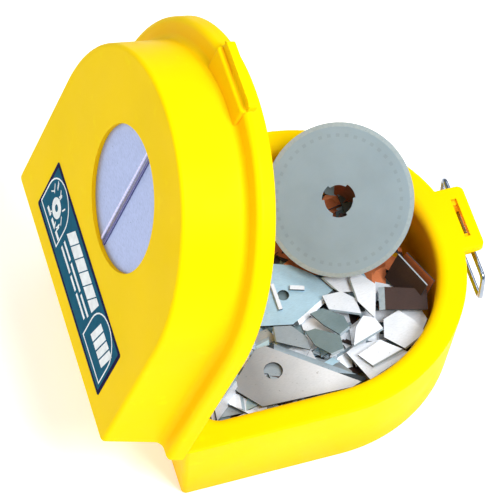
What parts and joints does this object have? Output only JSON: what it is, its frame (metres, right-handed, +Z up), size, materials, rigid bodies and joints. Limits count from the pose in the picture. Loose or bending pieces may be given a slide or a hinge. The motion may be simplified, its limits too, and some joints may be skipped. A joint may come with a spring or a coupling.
{
  "type": "blade disposal case",
  "caption": "Arch-shaped hinged plastic case for used craft blades, open, with a slotted window, a wire bail latch and blades lying inside.",
  "frame": {"origin": "on the table, under the middle of the open case's box", "axes": "+Z up; +X from the hinge towards the latch; +Y along the hinge"},
  "size_m": [0.1248, 0.1042, 0.1286],
  "materials": {
    "yellow_plastic": "moulded satin",
    "pin_steel": "drawn",
    "plate_metal": "satin anodised",
    "grey_plastic": "matte",
    "label_film": "printed film",
    "wire_steel": "bright wire",
    "packed_chips": "loose blade chips",
    "blade_steel": "ground",
    "bright_steel": "polished",
    "dark_steel": "oiled"
  },
  "bodies": {
    "tray": {"blade_heap": "packed_chips", "blade_slivers": "bright_steel", "dark_strip_blade": "dark_steel", "edge_on_blades": "bright_steel", "far_dark_segment": "dark_steel", "heel_blade": "blade_steel", "hinge_pin": "pin_steel", "leaning_blade": "dark_steel", "lower_segments": "bright_steel", "near_dark_segment": "dark_steel", "pointed_blade": "blade_steel", "prop_blade": "blade_steel", "rotary_blade": "blade_steel", "round_end_blade": "dark_steel", "scattered_segments": "bright_steel", "tray_shell": "yellow_plastic", "upper_segments": "bright_steel", "wall_blade": "dark_steel"},
    "lid": {"label": "label_film", "lid_shell": "yellow_plastic", "plate_ring": "grey_plastic", "slot_plate": "plate_metal"},
    "bail": {"wire_bail": "wire_steel"}
  },
  "joints": [
    {"name": "lid_hinge", "type": "hinge", "parent": "tray", "child": "lid", "pos_m": [-0.04216, 0, 0.0296], "axis": [0, -1, 0], "range_deg": [-69.5, 110.5]},
    {"name": "bail_swing", "type": "hinge", "parent": "tray", "child": "bail", "pos_m": [0.05984, 0.004, 0.0236], "axis": [0, -1, 0], "range_deg": [-18, 180]}
  ]
}
